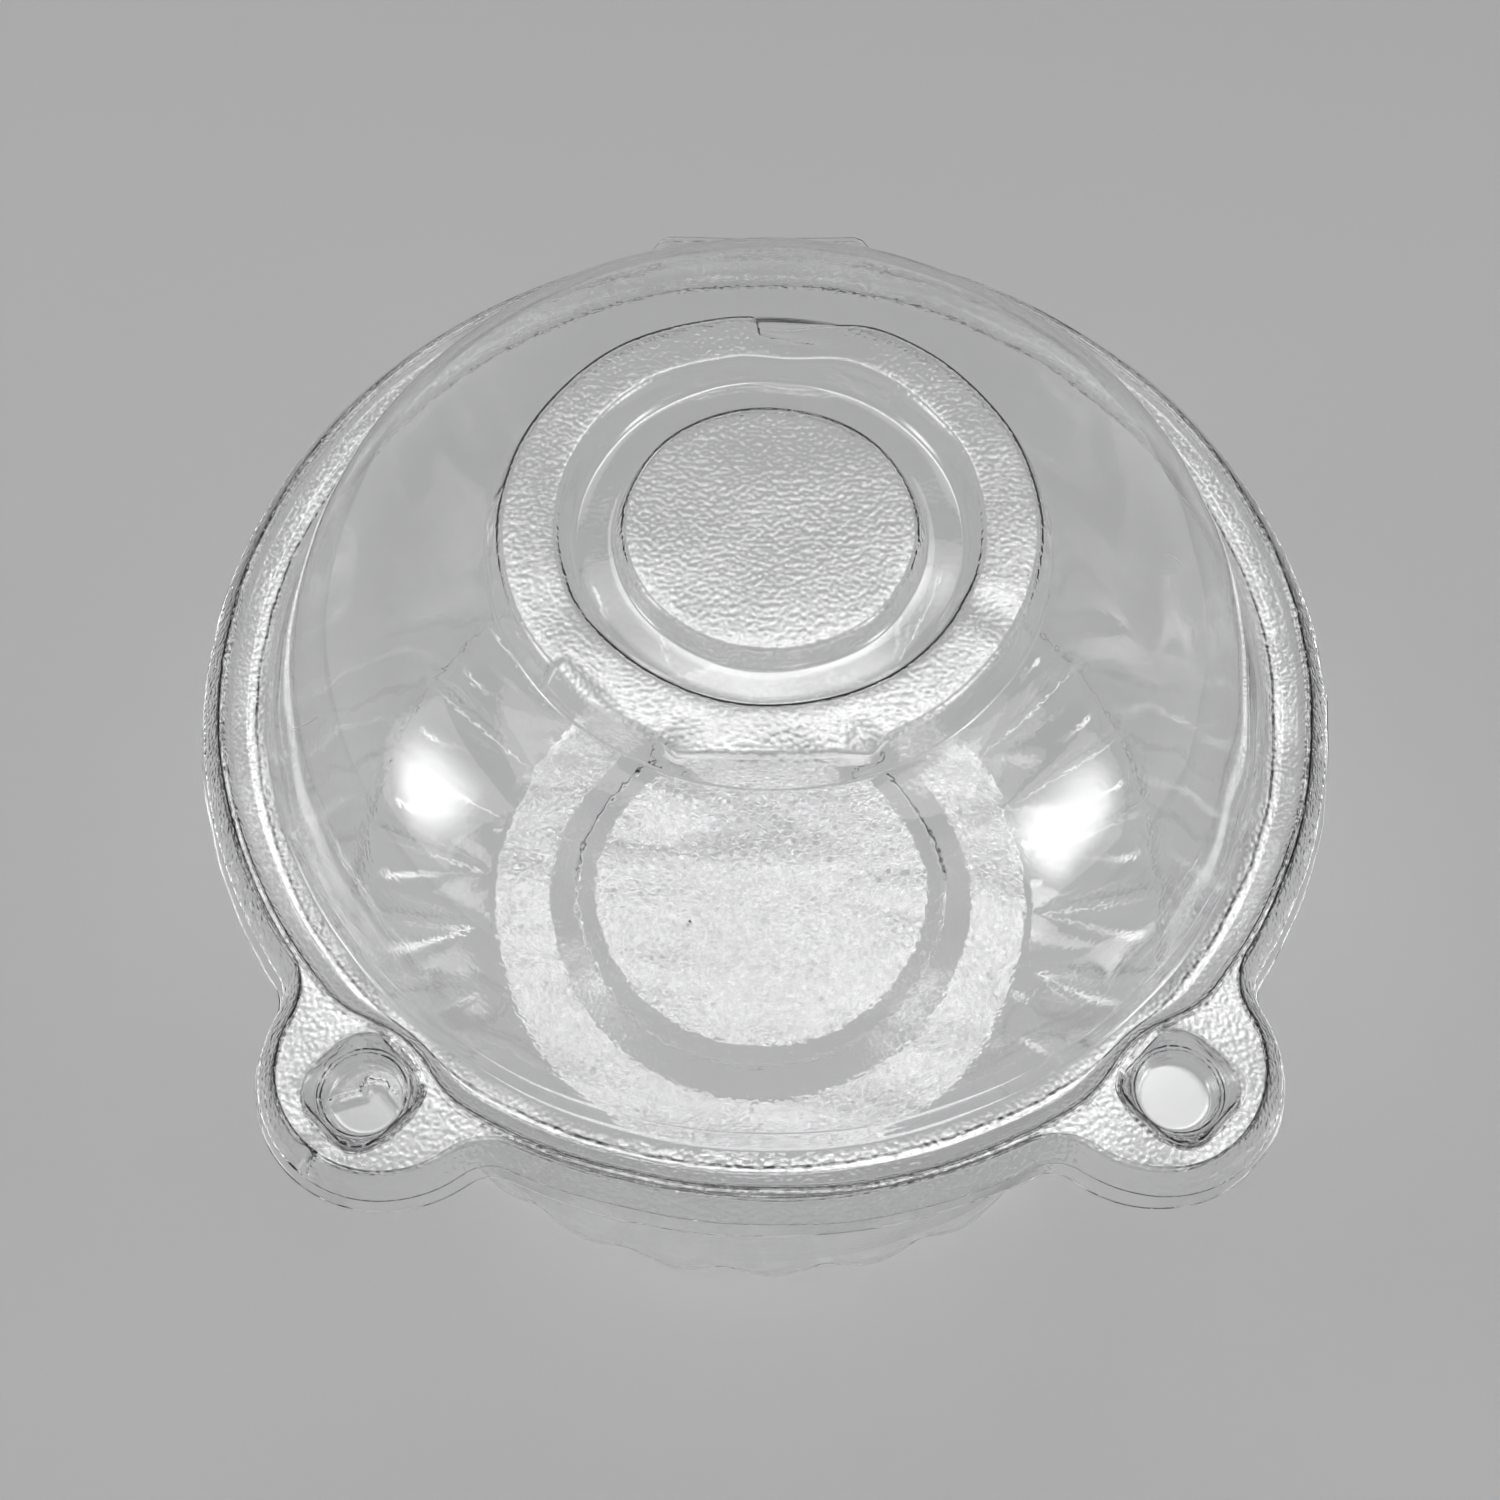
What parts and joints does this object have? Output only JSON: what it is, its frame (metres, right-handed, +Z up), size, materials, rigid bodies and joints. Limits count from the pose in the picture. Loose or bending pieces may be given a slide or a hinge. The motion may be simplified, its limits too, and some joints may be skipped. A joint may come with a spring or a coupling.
{
  "type": "hinged clear plastic dome container",
  "caption": "Round clear container: a deep bowl with a fluted foot and a low dome lid with a stacking ring, joined by a living hinge and closed by snap ears.",
  "frame": {"origin": "on the ground at the bowl's axis, at the centre of its ring foot", "axes": "+Z up along the bowl's axis; the hinge is towards +Y and the two snap ears towards -Y, to the left and right of it"},
  "size_m": [0.1198, 0.1183, 0.0884],
  "materials": {
    "clear_film": "clear glossy thermoformed film with a faint chill texture on the flat zones"
  },
  "bodies": {
    "bowl": {"base_bowl": "clear_film"},
    "lid": {"dome_lid": "clear_film"}
  },
  "joints": [
    {"name": "lid_hinge", "type": "hinge", "parent": "bowl", "child": "lid", "pos_m": [0, 0.0585, 0.0629], "axis": [-1, 0, 0], "range_deg": [0, 180]}
  ]
}
